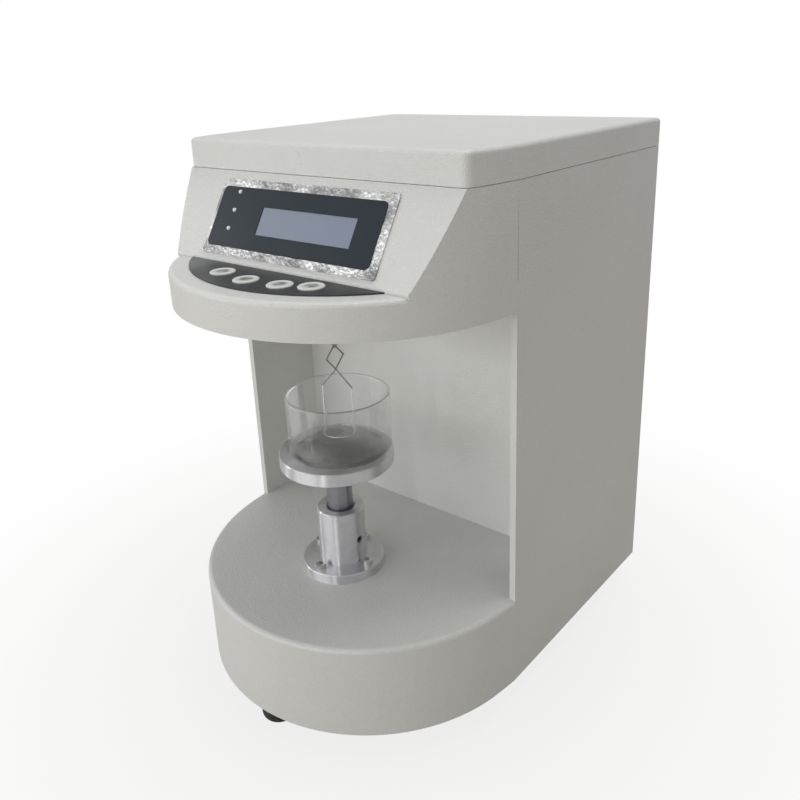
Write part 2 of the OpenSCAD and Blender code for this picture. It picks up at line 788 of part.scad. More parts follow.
// plate on the head's floor with the two ears that carry the beam's pivot
module balance_base() {
    color([0.7, 0.71, 0.73])
    difference() {
        union() {
            translate([beam_x - 20, pivot_y - 24, balance_floor]) cube([40, 82, base_plate_t]);
            for (s = [-1, 1])
                translate([beam_x + s * (beam_w / 2 + 1 + 2) - 2, pivot_y - 7, balance_floor])
                    cube([4, 14, beam_z + 7 - balance_floor]);
        }
        translate([beam_x - 30, pivot_y, beam_z]) rotate([0, 90, 0]) cylinder(d = pin_d, h = 60);
    }
}

module pivot_pin() {
    color("silver")
    translate([beam_x - beam_w / 2 - 5, pivot_y, beam_z]) rotate([0, 90, 0])
        cylinder(d = pin_d, h = beam_w + 10);
}

module balance_beam() {
    color([0.8, 0.8, 0.82])
    difference() {
        union() {
            translate([beam_x - beam_w / 2, dish_pos[1] - 4, beam_z - 4])
                cube([beam_w, coil_y - dish_pos[1] + 12, 8]);
            translate([beam_x, coil_y, beam_z - 10]) cylinder(d = 6, h = 8);
        }
        translate([beam_x - 20, pivot_y, beam_z]) rotate([0, 90, 0])
            cylinder(d = pin_d + 2 * run, h = 40);
        translate([beam_x - 20, dish_pos[1], beam_z]) rotate([0, 90, 0]) cylinder(d = hanger_d, h = 40);
        for (i = [0:2], s = [0, 1])
            translate([beam_x - 20, (s == 0 ? dish_pos[1] + 10 : pivot_y + 9) + i * 8, beam_z])
                rotate([0, 90, 0]) cylinder(d = 4.5, h = 40);
    }
}

module hanger_pin() {
    color("silver")
    translate([beam_x - beam_w / 2, dish_pos[1], beam_z]) rotate([0, 90, 0]) {
        cylinder(d = hanger_d, h = beam_w / 2 + dish_pos[0] - beam_x + 3);
        translate([0, 0, beam_w / 2 + dish_pos[0] - beam_x + 2.2]) cylinder(d = 4, h = 1);
    }
}

module beam_coil() {
    color("chocolate")
    translate([beam_x, coil_y, beam_z - 22])
        difference() {
            cylinder(d = 18, h = 12);
            translate([0, 0, -1]) cylinder(d = 13, h = 11);
        }
}

module magnet_pot() {
    color([0.35, 0.35, 0.37])
    translate([beam_x, coil_y, balance_floor + base_plate_t])
        difference() {
            cylinder(d = 30, h = 14);
            translate([0, 0, 4])
                difference() {
                    cylinder(d = 21, h = 11);
                    cylinder(d = 10, h = 11);
                }
        }
}

// rod from the beam's tip, through the head's floor, to the open hook that carries the ring
module hook_rod() {
    x = dish_pos[0];
    y = dish_pos[1];
    knee = hook_z + 8;
    color([0.7, 0.7, 0.72])
    difference() {
        union() {
            translate([x, y, knee]) cylinder(d = hook_rod_d, h = beam_z - knee, $fn = 32);
            translate([x - 1.5, y, beam_z]) rotate([0, 90, 0]) cylinder(d = 5, h = 3, $fn = 40);
            translate([x, y, hook_z]) rotate([0, 0, hook_turn]) {
                rotate([90, 180, 0])
                    rotate_extrude(angle = 180, $fn = 48)
                        translate([hook_r, 0]) circle(d = hook_wire, $fn = 24);
                translate([hook_r, 0, 0]) cylinder(d = hook_wire, h = 2, $fn = 24);
                translate([-hook_r, 0, 0]) cylinder(d = hook_wire, h = 3, $fn = 24);
                translate([-hook_r, 0, 3]) sphere(d = hook_wire + 0.3, $fn = 32);
                translate([-hook_r, 0, 3]) rotate([0, atan(hook_r / 5), 0])
                    cylinder(d = hook_wire, h = sqrt(hook_r * hook_r + 25) + 0.6, $fn = 32);
            }
        }
        translate([x - 3, y, beam_z]) rotate([0, 90, 0])
            cylinder(d = hanger_d + 2 * run, h = 6, $fn = 40);
    }
}

// round wire between two points, with a brazed bead at its start
module wire(a, b, d) {
    v = b - a;
    reach = norm(v);
    translate(a) sphere(d = d + 0.3, $fn = 32);
    translate(a) rotate([0, acos(v[2] / reach), atan2(v[1], v[0])])
        cylinder(d = d, h = reach, $fn = 32);
}

function turned(r, a, z) = [dish_pos[0] + r * cos(a), dish_pos[1] + r * sin(a), z];

// stirrup: diamond loop and the two arms that the ring's legs are brazed to
module ring_stirrup() {
    top = turned(0, 0, loop_top);
    low = turned(0, 0, loop_low);
    left = turned(-loop_w / 2, loop_turn, (loop_top + loop_low) / 2);
    right = turned(loop_w / 2, loop_turn, (loop_top + loop_low) / 2);
    bar_l = turned(-ring_d / 2, ring_turn, bar_z);
    bar_r = turned(ring_d / 2, ring_turn, bar_z);
    path = [[top, left], [left, low], [low, right], [right, top], [bar_l, low], [bar_r, low]];
    color([0.25, 0.25, 0.27])
    for (p = path) wire(p[0], p[1], stirrup_wire);
}

// ring and its two legs
module measuring_ring() {
    color([0.7, 0.7, 0.7]) {
        translate([dish_pos[0], dish_pos[1], ring_z])
            rotate_extrude($fn = 96) translate([ring_d / 2, 0]) circle(d = ring_wire, $fn = 32);
        for (s = [-1, 1])
            translate(turned(s * ring_d / 2, ring_turn, ring_z - ring_wire / 2 - 0.1))
                cylinder(d = leg_wire, h = leg_h + ring_wire / 2, $fn = 32);
    }
}

// ---------- electronics ----------

module main_board() {
    color("darkgreen")
    translate([-board_w / 2, recess_y + panel_t + standoff_h, board_low])
        cube([board_w, board_t, board_tall]);
}

module board_standoffs() {
    color("goldenrod")
    for (x = [-1, 1], z = [0, 1])
        translate([x * (board_w / 2 - 6), recess_y + panel_t, board_low + 6 + z * (board_tall - 12)])
            rotate([-90, 0, 0]) cylinder(d = 6, h = standoff_h);
}

module board_parts() {
    y = recess_y + panel_t + standoff_h + board_t;
    color("dimgray") {
        translate([-40, y, board_low + 15]) cube([28, 12, 24]);
        translate([-6, y, board_low + 60]) cube([22, 3, 22]);
        translate([26, y, board_low + 20]) cube([20, 6, 8]);
        for (i = [0:3]) translate([-38 + i * 14, y, board_low + 52]) rotate([-90, 0, 0])
            cylinder(d = 8, h = 14, $fn = 40);
    }
}

module power_supply() {
    color("lightgray")
    difference() {
        translate([-50, side_y + 66, inner_z]) cube([100, 62, 34]);
        for (i = [0:7]) translate([-42 + i * 11, side_y + 74, inner_z + 30]) cube([5, 46, 6]);
    }
}

module mains_inlet() {
    color([0.12, 0.12, 0.12])
    difference() {
        union() {
            translate([inlet_x - 13.5, rear_y - 24, port_z - 9.7]) cube([27, 24 + eps, 19.4]);
            translate([inlet_x - 18, rear_y, port_z - 12]) cube([36, rear_in - 0.2, 24]);
        }
        translate([inlet_x - 11.5, rear_y - 14, port_z - 7.5]) cube([23, 20, 15]);
    }
    color("silver")
    for (x = [-7, 0, 7])
        translate([inlet_x + x - 1, rear_y - 15, port_z - 2]) cube([2, 13, 4]);
}

module switch_frame() {
    color([0.12, 0.12, 0.12])
    difference() {
        union() {
            translate([rocker_x - 9.5, rear_y - 14, port_z - 6.3]) cube([19, 14 + eps, 12.6]);
            translate([rocker_x - 10.5, rear_y, port_z - 7.5]) cube([21, 1.5, 15]);
        }
        translate([rocker_x - 8.2, rear_y - 9, port_z - 5.4]) cube([16.4, 12, 10.8]);
        translate([rocker_x, rear_y - 3, port_z - 7]) cylinder(d = 2.4 + 2 * run, h = 14, $fn = 40);
    }
}

// rocker: a shallow V that tilts on two trunnions in the frame's walls
module rocker_switch() {
    r = 6.9;
    color([0.15, 0.15, 0.15])
    translate([rocker_x, rear_y - 3, port_z]) {
        translate([0, 0, -4.9]) linear_extrude(9.8)
            polygon([[-r, 1.2], [-r, 2.4], [0, 1.6], [r, 3.8], [r, 1], [3, -3.6], [-3, -3.6]]);
        translate([0, 0, -6]) cylinder(d = 2.4, h = 12, $fn = 40);
    }
}

module serial_port() {
    color("silver")
    difference() {
        union() {
            translate([serial_x - 9.4, rear_y - 10, port_z - 5.4]) cube([18.8, 10 + eps, 10.8]);
            translate([serial_x - 15.4, rear_y, port_z - 6.2]) cube([30.8, 0.9, 12.4]);
            translate([serial_x - 8.4, rear_y, port_z - 4.2]) cube([16.8, rear_in - 0.2, 8.4]);
        }
        translate([serial_x - 7.8, rear_y - 4, port_z - 3.6]) cube([15.6, 12, 7.2]);
    }
}

// ---------- feet and fasteners ----------

// black moulded foot, its heel rounded, with a grip waist under its shoulder
module foot(p) {
    r = foot_d / 2;
    h = foot_h - 0.1;
    color([0.08, 0.08, 0.08])
    translate([p[0], p[1], 0])
        rotate_extrude()
            difference() {
                union() {
                    translate([0, 4]) square([r, h - 4]);
                    square([r - 4, 6]);
                    translate([r - 4, 4]) circle(r = 4, $fn = 48);
                }
                translate([-5, -1]) square([5 + stud_d / 2 + run, h + 2]);
            }
}

module stud(p) {
    color("silver")
    translate([p[0], p[1], 1]) cylinder(d = stud_d, h = inner_z + nut_h + 5, $fn = 48);
}

module foot_nuts() {
    color("silver")
    for (p = feet)
        translate([p[0], p[1], inner_z])
            difference() {
                cylinder(d = 14.6, h = nut_h, $fn = 6);
                translate([0, 0, -1]) cylinder(d = stud_d, h = nut_h + 2, $fn = 48);
            }
}

module bottom_plate_screws() {
    color("silver")
    for (p = boss_places)
        translate([p[0], p[1], plate_z]) mirror([0, 0, 1]) cap_screw(3.2, 7, 2, 10);
}

module rear_panel_screws() {
    color("silver")
    for (p = rear_screw_places)
        translate([p[0], rear_y, p[1]]) rotate([-90, 0, 0]) cap_screw(2.5, 5.6, 1.8, 5);
}

module lid_screws() {
    color("silver")
    for (x = [-1, 1])
        translate([x * lid_screw_x, back_y, seam_z - 6]) rotate([90, 0, 0])
            difference() {
                union() {
                    cylinder(d1 = 7.6, d2 = 4, h = 2);
                    cylinder(d = 2.5, h = frame_t + 4, $fn = 32);
                }
                translate([0, 0, -1]) cylinder(d = 2, h = 2.2, $fn = 6);
            }
}

body_shell();
lid();
bottom_plate();
rear_panel();
recess_back_panel();
display_bezel();
display_window();
lcd_screen();
status_leds();
lcd_module();
keypad_membrane();
key(1);  // key_1
key(2);  // key_2
key(3);  // key_3
key(4);  // key_4
keypad_board();
key_switches();
guide_bush();
flange_screws();
sleeve_screws();
lift_shaft();
lift_nut();
tray();
tray_stud();
sample_dish();
lift_motor();
lead_screw();
motor_screws();
balance_base();
pivot_pin();
balance_beam();
hanger_pin();
beam_coil();
magnet_pot();
hook_rod();
ring_stirrup();
measuring_ring();
main_board();
board_standoffs();
board_parts();
power_supply();
mains_inlet();
switch_frame();
rocker_switch();
serial_port();
foot(feet[0]);  // foot_front
foot(feet[1]);  // foot_rear_left
foot(feet[2]);  // foot_rear_right
stud(feet[0]);  // stud_front
stud(feet[1]);  // stud_rear_left
stud(feet[2]);  // stud_rear_right
foot_nuts();
bottom_plate_screws();
rear_panel_screws();
lid_screws();
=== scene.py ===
import json
import math

import bmesh
import bpy
from mathutils import Matrix, Vector

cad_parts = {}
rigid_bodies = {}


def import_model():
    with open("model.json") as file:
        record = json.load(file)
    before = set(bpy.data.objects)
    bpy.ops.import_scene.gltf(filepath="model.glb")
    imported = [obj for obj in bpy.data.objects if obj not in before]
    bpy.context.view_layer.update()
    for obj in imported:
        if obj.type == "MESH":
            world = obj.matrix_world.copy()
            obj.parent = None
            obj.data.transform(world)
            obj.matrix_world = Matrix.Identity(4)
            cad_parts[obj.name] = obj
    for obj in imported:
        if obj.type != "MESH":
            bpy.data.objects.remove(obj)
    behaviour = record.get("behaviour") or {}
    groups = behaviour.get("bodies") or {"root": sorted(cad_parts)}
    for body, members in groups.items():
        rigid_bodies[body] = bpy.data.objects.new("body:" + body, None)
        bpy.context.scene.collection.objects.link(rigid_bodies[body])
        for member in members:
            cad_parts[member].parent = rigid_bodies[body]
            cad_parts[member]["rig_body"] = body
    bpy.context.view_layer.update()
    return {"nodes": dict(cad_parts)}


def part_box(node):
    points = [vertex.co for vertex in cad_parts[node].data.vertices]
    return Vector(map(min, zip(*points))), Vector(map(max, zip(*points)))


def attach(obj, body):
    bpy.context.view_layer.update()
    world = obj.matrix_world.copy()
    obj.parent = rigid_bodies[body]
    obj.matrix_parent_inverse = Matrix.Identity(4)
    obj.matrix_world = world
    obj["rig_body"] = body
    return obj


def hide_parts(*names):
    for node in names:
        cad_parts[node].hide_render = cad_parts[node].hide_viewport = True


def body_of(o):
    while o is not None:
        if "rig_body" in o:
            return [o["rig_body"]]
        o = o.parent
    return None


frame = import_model()
nodes = frame["nodes"]

# ---------------------------------------------------------------- painted body
# The shell, its lid, the rear panel and the back wall of the work recess are sheet metal, sprayed
# light grey. The paint has dried with a fine orange-peel grain and has faint stains. The lid stands
# on the shell, and the rear panel is screwed into its back.


class Value:
    """A shader socket that works in sums: an expression on it adds Math nodes."""

    def __init__(self, tree, socket):
        self.tree = tree
        self.socket = socket

    def maths(self, operation, first, second):
        """The result of a Math node on two terms."""
        node = add_node(self.tree, "Math", {"operation": operation}, {0: first, 1: second})
        return Value(self.tree, node.outputs[0])

    def __add__(self, other):
        return self.maths("ADD", self, other)

    def __radd__(self, other):
        return self.maths("ADD", other, self)

    def __sub__(self, other):
        return self.maths("SUBTRACT", self, other)

    def __rsub__(self, other):
        return self.maths("SUBTRACT", other, self)

    def __mul__(self, other):
        return self.maths("MULTIPLY", self, other)

    def __rmul__(self, other):
        return self.maths("MULTIPLY", other, self)

    def __truediv__(self, other):
        return self.maths("DIVIDE", self, other)

    def __rtruediv__(self, other):
        return self.maths("DIVIDE", other, self)

    def __pow__(self, other):
        return self.maths("POWER", self, other)

    def __rpow__(self, other):
        return self.maths("POWER", other, self)

    def clamp(self):
        """The value, held between 0 and 1."""
        return Value(self.tree, add_node(self.tree, "Clamp", inputs={"Value": self}).outputs[0])

    def step(self, start, end):
        """0 below start, 1 above end and straight between them."""
        return ((self - start) / (end - start)).clamp()


def feed(tree, socket, item):
    """Puts a Value, a colour or a number on a socket."""
    if isinstance(item, Value):
        tree.links.new(item.socket, socket)
    elif socket.type == "RGBA":
        socket.default_value = (*item, 1)
    else:
        socket.default_value = item


def add_node(tree, kind, settings=None, inputs=None):
    """A new shader node: first its settings are set, then its sockets, by name or number."""
    node = tree.nodes.new("ShaderNode" + kind)
    for setting, choice in (settings or {}).items():
        setattr(node, setting, choice)
    for socket, item in (inputs or {}).items():
        feed(tree, node.inputs[socket], item)
    return node


class Finish:
    """A material with one Principled shader, and patterns in object coordinates, in metres."""

    def __init__(self, name, **constants):
        self.material = bpy.data.materials.new(name)
        self.material.use_nodes = True
        self.tree = self.material.node_tree
        self.shader = self.tree.nodes["Principled BSDF"]
        self.set(**constants)
        self.place = Value(self.tree, add_node(self.tree, "TexCoord").outputs["Object"])
        split = add_node(self.tree, "SeparateXYZ", inputs={0: self.place})
        self.x, self.y, self.z = (Value(self.tree, socket) for socket in split.outputs)

    def set(self, **inputs):
        """Feeds the shader's sockets, whose names have _ for each space."""
        for name, item in inputs.items():
            feed(self.tree, self.shader.inputs[name.replace("_", " ")], item)

    def noise(self, scale, detail, stretch=(1, 1, 1)):
        """Cloudy noise from 0 to 1, `scale` clouds to the metre, more of them along a stretched axis."""
        place = add_node(self.tree, "Mapping", inputs={"Vector": self.place, "Scale": stretch})
        inputs = {"Vector": Value(self.tree, place.outputs[0]), "Scale": scale, "Detail": detail}
        return Value(self.tree, add_node(self.tree, "TexNoise", inputs=inputs).outputs[0])

    def cells(self, scale):
        """Distance to the nearest of scattered points, `scale` of them to the metre."""
        inputs = {"Vector": self.place, "Scale": scale}
        return Value(self.tree, add_node(self.tree, "TexVoronoi", inputs=inputs).outputs["Distance"])

    def blend(self, share, first, second):
        """The first colour where the share is 0, the second where it is 1."""
        inputs = {"Factor": share, "A": first, "B": second}
        node = add_node(self.tree, "Mix", {"data_type": "RGBA"}, inputs)
        return Value(self.tree, node.outputs["Result"])

    def bump(self, height, depth, strength):
        """Relief of `depth` metres, from a height of 0 to 1."""
        inputs = {"Height": height, "Distance": depth, "Strength": strength}
        self.set(Normal=Value(self.tree, add_node(self.tree, "Bump", inputs=inputs).outputs[0]))


def dress(finish, *names):
    """Gives CAD nodes a finish."""
    for name in names:
        materials = nodes[name].data.materials
        materials.clear()
        materials.append(finish.material)


clean_paint = (0.70, 0.70, 0.68)
stained_paint = (0.645, 0.65, 0.62)
paint = Finish("shell_paint")
stains = paint.noise(scale=9, detail=3).step(0.35, 0.7)
specks = paint.noise(scale=420, detail=2).step(0.3, 0.75)
peel = paint.noise(scale=950, detail=2) * 0.6 + paint.noise(scale=1900, detail=1) * 0.4
paint.set(Base_Color=paint.blend(stains * 0.7 + specks * 0.3, clean_paint, stained_paint),
          Roughness=0.20 + 0.12 * paint.noise(scale=40, detail=3) + 0.12 * paint.noise(scale=900, detail=1))
paint.bump(peel, depth=0.0005, strength=0.8)
dress(paint, "body_shell", "lid", "rear_panel", "recess_back_panel")

# The shell shows as a merged copy. It closes the hairline steps where the turned front meets the
# flats, and shades the round front as one smooth surface.


def merged_copy(node, name, reach, crease):
    """A copy of a CAD node in the node's finish. Points within `reach` metres of each other are one,
    and faces shade smoothly over edges that turn by less than `crease` degrees."""
    shortest_edge = 1e-6
    large_faces_lead = 100
    work = bmesh.new()
    work.from_mesh(nodes[node].data)
    bmesh.ops.remove_doubles(work, verts=work.verts, dist=reach)
    bmesh.ops.dissolve_degenerate(work, edges=work.edges, dist=shortest_edge)
    mesh = bpy.data.meshes.new(name)
    work.to_mesh(mesh)
    work.free()
    for layer in ("custom_normal", "sharp_edge"):
        if layer in mesh.attributes:
            mesh.attributes.remove(mesh.attributes[layer])
    mesh.materials.append(nodes[node].data.materials[0])
    mesh.shade_smooth()
    mesh.set_sharp_from_angle(angle=math.radians(crease))
    piece = bpy.data.objects.new(name, mesh)
    bpy.context.collection.objects.link(piece)
    even = piece.modifiers.new("even_shading", "WEIGHTED_NORMAL")
    even.keep_sharp = True
    even.weight = large_faces_lead
    return piece


shell = merged_copy("body_shell", "painted_shell", reach=0.0003, crease=25)
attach(shell, body_of(nodes["body_shell"])[0])
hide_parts("body_shell")

# ---------------------------------------------------------------- foil surround
# A frame of crumpled silver foil, stuck on the slanted panel round the window. Its creases catch the
# light, and its darker patches are partly tarnish and partly painted reflections of dark surroundings.
bright_foil = (0.74, 0.74, 0.73)
tarnish_and_dark_reflection_foil = (0.30, 0.30, 0.30)
foil = Finish("bezel_foil", Metallic=0.85)
# painted reflection: these darker cloudy patches stand for dark surroundings mirrored in the foil as well
# as for tarnish
tarnish_and_dark_reflection = foil.noise(scale=55, detail=4).step(0.40, 0.62)
creases = (foil.cells(scale=380) * 0.6 + foil.noise(scale=560, detail=4) * 0.6).clamp()
foil.set(Base_Color=foil.blend(tarnish_and_dark_reflection, bright_foil, tarnish_and_dark_reflection_foil),
         Roughness=0.2 + 0.28 * foil.noise(scale=300, detail=2))
foil.bump(creases, depth=0.0009, strength=0.85)
dress(foil, "display_bezel")

# ---------------------------------------------------------------- window
# A dark acrylic plate inside the foil, stuck on the panel, with openings for the display and the
# lamps. Its face is slightly hazy.
deep_acrylic = (0.011, 0.019, 0.027)
hazy_acrylic = (0.022, 0.030, 0.040)
window = Finish("window_dark", Specular_IOR_Level=0.3)
window.set(Base_Color=window.blend(window.noise(scale=24, detail=3), deep_acrylic, hazy_acrylic),
           Roughness=0.3 + 0.14 * window.noise(scale=60, detail=3))
window.bump(window.noise(scale=260, detail=2), depth=0.00003, strength=0.4)
dress(window, "display_window")

# ---------------------------------------------------------------- display and lamps
# A grey-blue liquid-crystal display, faintly lit, that shows through the window's opening. Beside it
# stand three milky lamps in a row, each with a round head.
pale_crystal = (0.235, 0.265, 0.325)
dim_crystal = (0.185, 0.215, 0.285)
bright_glow = (0.40, 0.46, 0.60)
dim_glow = (0.34, 0.40, 0.54)
lcd = Finish("lcd_face", Roughness=0.35, Emission_Strength=0.05)
lcd.set(Base_Color=lcd.blend(lcd.noise(scale=30, detail=2), pale_crystal, dim_crystal),
        Emission_Color=lcd.blend(lcd.noise(scale=20, detail=1), bright_glow, dim_glow))
lcd.bump(lcd.noise(scale=900, detail=1), depth=0.00002, strength=0.3)
dress(lcd, "lcd_screen")

lamp = Finish("led_lens", Base_Color=(0.86, 0.86, 0.84))
lamp.set(Roughness=0.2 + 0.2 * lamp.noise(scale=700, detail=2))
dress(lamp, "status_leds")

# ---------------------------------------------------------------- keypad membrane
# A black plastic sheet on the shelf, cut as a crescent, with a round hole for each key. Dust has
# gathered towards its left end. Where it starts and is full is in metres left of the middle.
clean_pad = (0.020, 0.022, 0.024)
dusty_pad = (0.17, 0.18, 0.18)
pad = Finish("pad_black")
dust_start = 0.0393
dust_full = 0.0714
left_end = (0 - pad.x).step(dust_start, dust_full)
dust = left_end * pad.noise(scale=60, detail=3).step(0.3, 0.6)
pad.set(Base_Color=pad.blend(dust, clean_pad, dusty_pad),
        Roughness=0.3 + 0.2 * pad.noise(scale=80, detail=3))
pad.bump(pad.noise(scale=900, detail=2), depth=0.00004, strength=0.4)
dress(pad, "keypad_membrane")

# ---------------------------------------------------------------- keys
# Four round caps, moulded in pale plastic, whose stems pass through the shelf to their switches.
# Use has worn dark patches in each one's middle. The wear's two radii are in metres.
pale_cap = (0.66, 0.67, 0.65)
worn_cap = (0.17, 0.19, 0.18)
worn_middle = 0.00272
worn_edge = 0.00476
for name in ("key_1", "key_2", "key_3", "key_4"):
    low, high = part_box(name)
    middle_x = (low[0] + high[0]) / 2
    middle_y = (low[1] + high[1]) / 2
    cap = Finish(name + "_cap")
    from_middle = ((cap.x - middle_x) ** 2 + (cap.y - middle_y) ** 2) ** 0.5
    patches = 0.55 + 0.45 * cap.noise(scale=320, detail=2).step(0.35, 0.6)
    worn = (1 - from_middle.step(worn_middle, worn_edge)) * patches
    cap.set(Base_Color=cap.blend(worn, pale_cap, worn_cap),
            Roughness=0.3 + 0.2 * cap.noise(scale=500, detail=2))
    cap.bump(cap.noise(scale=800, detail=2), depth=0.00004, strength=0.4)
    dress(cap, name)

# ---------------------------------------------------------------- aluminium
# The stage's flange with its sleeve, the tray, and the balance's base and beam are machined from
# aluminium. The stage's parts are turned: their fine tool rings run round the axis, so a highlight
# stretches along it, a quarter turn from the grooves.
across_grooves = 0.25
bright_alloy = (0.76, 0.76, 0.79)
dull_alloy = (0.58, 0.58, 0.60)
alloy = Finish("turned_alloy", Metallic=1.0, Anisotropic=0.95, Anisotropic_Rotation=across_grooves)
alloy.set(Base_Color=alloy.blend(alloy.noise(scale=150, detail=3), bright_alloy, dull_alloy),
          Roughness=0.30 + 0.14 * alloy.noise(scale=90, detail=3, stretch=(1, 1, 14)))
alloy.bump(alloy.noise(scale=60, detail=2, stretch=(1, 1, 60)), depth=0.00002, strength=0.3)
dress(alloy, "guide_bush", "tray", "balance_base", "balance_beam")

# ---------------------------------------------------------------- ground steel
# The lift shaft that slides in the sleeve, the lead screw inside it, the tray's stud and the
# balance's two pins are turned from steel bar and ground smooth.
steel = Finish("ground_steel", Base_Color=(0.30, 0.30, 0.33), Metallic=1.0, Anisotropic=0.85,
               Anisotropic_Rotation=across_grooves)
steel.set(Roughness=0.20 + 0.08 * steel.noise(scale=40, detail=2, stretch=(1, 1, 4)))
dress(steel, "lift_shaft", "lead_screw", "pivot_pin", "hanger_pin", "tray_stud")

# ---------------------------------------------------------------- flange screws
# Four socket screws hold the stage's flange on the base. They are nickel-plated steel, smooth and
# bright.
nickel = Finish("nickel_screw", Base_Color=(0.62, 0.61, 0.60), Metallic=1.0)
nickel.set(Roughness=0.14 + 0.2 * nickel.noise(scale=700, detail=2))
dress(nickel, "flange_screws")

# ---------------------------------------------------------------- blackened steel
# The sleeve's two set screws, the case of the lift motor and the pot of the balance's magnet are
# blackened steel.
black_steel = Finish("black_steel", Base_Color=(0.16, 0.16, 0.17), Metallic=0.9)
black_steel.set(Roughness=0.25 + 0.2 * black_steel.noise(scale=500, detail=2))
dress(black_steel, "sleeve_screws", "lift_motor", "magnet_pot")

# ---------------------------------------------------------------- zinc-plated steel
# The screws of the motor, the bottom plate, the rear panel and the lid, the studs and nuts of the
# feet and the shell of the serial port are zinc-plated steel.
zinc = Finish("zinc_steel", Base_Color=(0.60, 0.60, 0.60), Metallic=1.0)
zinc.set(Roughness=0.28 + 0.2 * zinc.noise(scale=400, detail=2))
dress(zinc, "motor_screws", "serial_port", "stud_front", "stud_rear_left", "stud_rear_right",
      "foot_nuts", "bottom_plate_screws", "rear_panel_screws", "lid_screws")

# ---------------------------------------------------------------- steel sheet
# The bottom plate, screwed up under the shell, and the case of the power supply are rolled sheet
# steel, with faint streaks along the sheet.
plate = Finish("plate_steel", Base_Color=(0.55, 0.56, 0.57), Metallic=0.9)
plate.set(Roughness=0.32 + 0.2 * plate.noise(scale=60, detail=3, stretch=(1, 8, 1)))
dress(plate, "bottom_plate", "power_supply")

# ---------------------------------------------------------------- brass
# The lift nut, set into the foot of the shaft, and the standoffs that carry the main board are
# turned from brass.
brass = Finish("brass", Base_Color=(0.70, 0.52, 0.22), Metallic=1.0)
brass.set(Roughness=0.22 + 0.2 * brass.noise(scale=300, detail=2))
dress(brass, "lift_nut", "board_standoffs")

# ---------------------------------------------------------------- sample dish
# A thin dish of clear glass that stands loose on the tray. Its rim is fire-polished and shows as a
# denser line, from 1.6 mm to 0.8 mm below its top, and its wall is a little smeared.
rim_start = 0.0016
rim_full = 0.0008
clean_wall = 0.24
smeared_wall = 0.12
dense_rim = 0.6
glass = Finish("dish_glass", Base_Color=(0.95, 0.985, 0.97), Transmission_Weight=1.0, IOR=1.42)
smear = glass.noise(scale=60, detail=3).step(0.45, 0.75)
dish_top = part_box("sample_dish")[1][2]
rim = glass.z.step(dish_top - rim_start, dish_top - rim_full)
glass.set(Roughness=0.008 + 0.03 * smear,
          Alpha=(clean_wall + smeared_wall * smear + dense_rim * rim).clamp())
glass.bump(glass.noise(scale=45, detail=2), depth=0.00008, strength=0.2)
dress(glass, "sample_dish")

# ---------------------------------------------------------------- hanger
# A rod comes down from the balance and ends in an open hook. A stirrup of the same dark wire, bent to
# a diamond loop with two arms, hangs on it.
wire = Finish("hanger_wire", Base_Color=(0.30, 0.30, 0.31), Metallic=0.9)
wire.set(Roughness=0.22 + 0.2 * wire.noise(scale=900, detail=2))
dress(wire, "hook_rod", "ring_stirrup")

# ---------------------------------------------------------------- measuring ring
# A ring of thin platinum wire, with two legs that are brazed to the stirrup's arms. It hangs level
# inside the dish.
platinum = Finish("ring_platinum", Base_Color=(0.70, 0.69, 0.67), Metallic=1.0)
platinum.set(Roughness=0.14 + 0.15 * platinum.noise(scale=900, detail=2))
dress(platinum, "measuring_ring")

# ---------------------------------------------------------------- circuit boards
# The boards behind the display, under the keys and behind the recess are green laminate, carried on
# posts and standoffs. A fine mottle stands for their tracks.
deep_laminate = (0.02, 0.14, 0.06)
light_laminate = (0.03, 0.18, 0.08)
laminate = Finish("board_green", Roughness=0.35)
mottle = laminate.cells(scale=300).step(0.2, 0.5)
laminate.set(Base_Color=laminate.blend(mottle, deep_laminate, light_laminate))
dress(laminate, "lcd_module", "keypad_board", "main_board")

# ---------------------------------------------------------------- balance coil
# The coil that the balance beam carries is wound of copper wire and works in the magnet's pot. Its
# turns show as fine grooves round it.
copper = Finish("coil_copper", Base_Color=(0.60, 0.26, 0.12), Roughness=0.3, Metallic=0.9)
copper.bump(copper.noise(scale=40, detail=1, stretch=(1, 1, 60)), depth=0.0001, strength=0.6)
dress(copper, "beam_coil")

# ---------------------------------------------------------------- black mouldings
# The key switches, the parts on the main board, and the mains inlet, switch frame and rocker in the
# rear panel are moulded in black plastic with a fine matt grain.
moulding = Finish("part_black", Base_Color=(0.03, 0.03, 0.032))
moulding.set(Roughness=0.35 + 0.2 * moulding.noise(scale=200, detail=2))
moulding.bump(moulding.noise(scale=1200, detail=2), depth=0.00005, strength=0.4)
dress(moulding, "key_switches", "board_parts", "mains_inlet", "switch_frame", "rocker_switch")

# ---------------------------------------------------------------- feet
# Three levelling feet, moulded in matt black rubber, which turn on studs that nuts hold in the
# bottom plate. Dust sits in their grain.
clean_rubber = (0.016, 0.016, 0.016)
dusty_rubber = (0.05, 0.05, 0.048)
rubber = Finish("foot_rubber", Roughness=0.6)
grain_dust = rubber.noise(scale=300, detail=3).step(0.5, 0.8)
rubber.set(Base_Color=rubber.blend(grain_dust, clean_rubber, dusty_rubber))
rubber.bump(rubber.noise(scale=1500, detail=2), depth=0.00006, strength=0.5)
dress(rubber, "foot_front", "foot_rear_left", "foot_rear_right")

# ---------------------------------------------------------------- floor
# A pale floor that keeps the object's shadow. The camera and the glass see it fade to white away
# from the object, and reflections see part of that.
white_in_gloss = 0.35


def seen_white(tree):
    """1 for rays from the camera or through glass, less for reflections, and 0 for other rays."""
    path = add_node(tree, "LightPath")
    camera_ray, glass_ray, gloss_ray = (Value(tree, path.outputs["Is %s Ray" % kind])
                                        for kind in ("Camera", "Transmission", "Glossy"))
    return (camera_ray + glass_ray + white_in_gloss * gloss_ray).clamp()


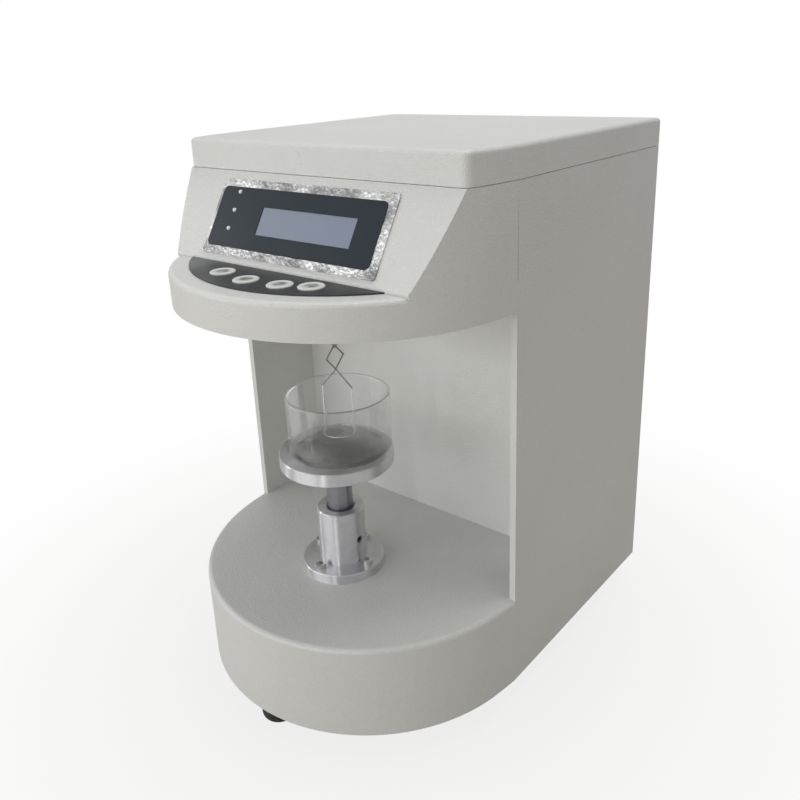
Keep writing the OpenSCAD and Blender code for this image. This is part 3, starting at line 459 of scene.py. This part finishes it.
def mix_shaders(tree, share, first, second, output):
    """Feeds an output node's Surface with two nodes' shaders, mixed by a share from 0 to 1."""
    inputs = {0: share, 1: Value(tree, first.outputs[0]), 2: Value(tree, second.outputs[0])}
    mix = add_node(tree, "MixShader", inputs=inputs)
    feed(tree, tree.nodes[output].inputs["Surface"], Value(tree, mix.outputs[0]))


half_side = 3.0
corners = [(x * half_side, y * half_side, 0) for x, y in ((-1, -1), (1, -1), (1, 1), (-1, 1))]
floor_mesh = bpy.data.meshes.new("floor")
floor_mesh.from_pydata(corners, [], [(0, 1, 2, 3)])
floor = bpy.data.objects.new("floor", floor_mesh)
bpy.context.collection.objects.link(floor)

pale_floor = (0.43, 0.39, 0.34)
shaded_floor = (0.41, 0.37, 0.32)
white_near = 0.82
fade_start = 0.12
fade_end = 0.40
ground = Finish("floor_pale", Roughness=0.8)
ground.set(Base_Color=ground.blend(ground.noise(scale=12, detail=2), pale_floor, shaded_floor))
from_object = (ground.x ** 2 + ground.y ** 2) ** 0.5
white = white_near + (1 - white_near) * from_object.step(fade_start, fade_end)
shine = add_node(ground.tree, "Emission", inputs={"Color": (1, 1, 1), "Strength": 1.0})
mix_shaders(ground.tree, seen_white(ground.tree) * white, ground.shader, shine, "Material Output")
floor_mesh.materials.append(ground.material)

# ---------------------------------------------------------------- room
# A plain studio: a grey room that the camera and the glass see as white, one large lamp above, one
# in front, and two narrow strips that draw the upright lines of light on the turned metal.
world = bpy.data.worlds.new("room")
bpy.context.scene.world = world
world.use_nodes = True
room = world.node_tree
grey_room = room.nodes["Background"]
feed(room, grey_room.inputs["Color"], (0.84, 0.85, 0.86))
feed(room, grey_room.inputs["Strength"], 0.5)
white_room = add_node(room, "Background", inputs={"Color": (1, 1, 1), "Strength": 1.0})
mix_shaders(room, seen_white(room), grey_room, white_room, "World Output")


def area_light(name, place, aim, size, power, colour):
    """A rectangular lamp at a place, turned to face the point it is aimed at."""
    lamp_data = bpy.data.lights.new(name, "AREA")
    lamp_data.shape = "RECTANGLE"
    lamp_data.size, lamp_data.size_y = size
    lamp_data.energy = power
    lamp_data.color = colour
    lamp_object = bpy.data.objects.new(name, lamp_data)
    lamp_object.location = place
    lamp_object.rotation_euler = (Vector(aim) - Vector(place)).to_track_quat("-Z", "Y").to_euler()
    bpy.context.collection.objects.link(lamp_object)


warm_white = (1.0, 0.99, 0.97)
cool_white = (0.98, 0.99, 1.0)
plain_white = (1.0, 1.0, 1.0)
stage_point = (0, -0.06, 0.12)
area_light("ceiling_light", place=(0.1, 0.35, 1.9), aim=(0, 0.05, 0.3), size=(1.2, 1.0), power=14.5,
           colour=warm_white)
area_light("front_light", place=(-0.65, -1.9, 0.55), aim=(0, 0, 0.2), size=(1.8, 0.8), power=13.5,
           colour=cool_white)
area_light("near_strip", place=(0.34, -1.21, 0.40), aim=stage_point, size=(0.06, 0.8), power=1.5,
           colour=plain_white)
area_light("left_strip", place=(-1.1, -0.6, 0.40), aim=stage_point, size=(0.08, 0.8), power=1.6,
           colour=plain_white)

# ---------------------------------------------------------------- camera
# It stands where the photograph was taken from. Place, aim, roll and lens were solved from the
# photograph's straight edges and ellipses. Azimuth is from the front towards the right, elevation
# above the level and roll about the line of sight.
camera_place = (0.32065, -0.37434, 0.37603)
azimuth, elevation, roll = (math.radians(angle) for angle in (39.743, 19.003, -2.163))
ahead = Vector((-math.sin(azimuth) * math.cos(elevation), math.cos(azimuth) * math.cos(elevation),
                -math.sin(elevation)))
right = Vector((math.cos(azimuth), math.sin(azimuth), 0))
up = right.cross(ahead)
rolled_right = right * math.cos(roll) + up * math.sin(roll)
rolled_up = up * math.cos(roll) - right * math.sin(roll)
lens = bpy.data.cameras.new("camera")
lens.lens = 36.443
lens.sensor_width = 36
lens.shift_x = -0.00816
lens.shift_y = -0.0750
lens.clip_start = 0.01
camera = bpy.data.objects.new("camera", lens)
axes = Matrix((rolled_right, rolled_up, -ahead)).transposed().to_4x4()
axes.translation = camera_place
camera.matrix_world = axes
bpy.context.collection.objects.link(camera)
scene = bpy.context.scene
scene.camera = camera
scene.view_settings.view_transform = "Standard"
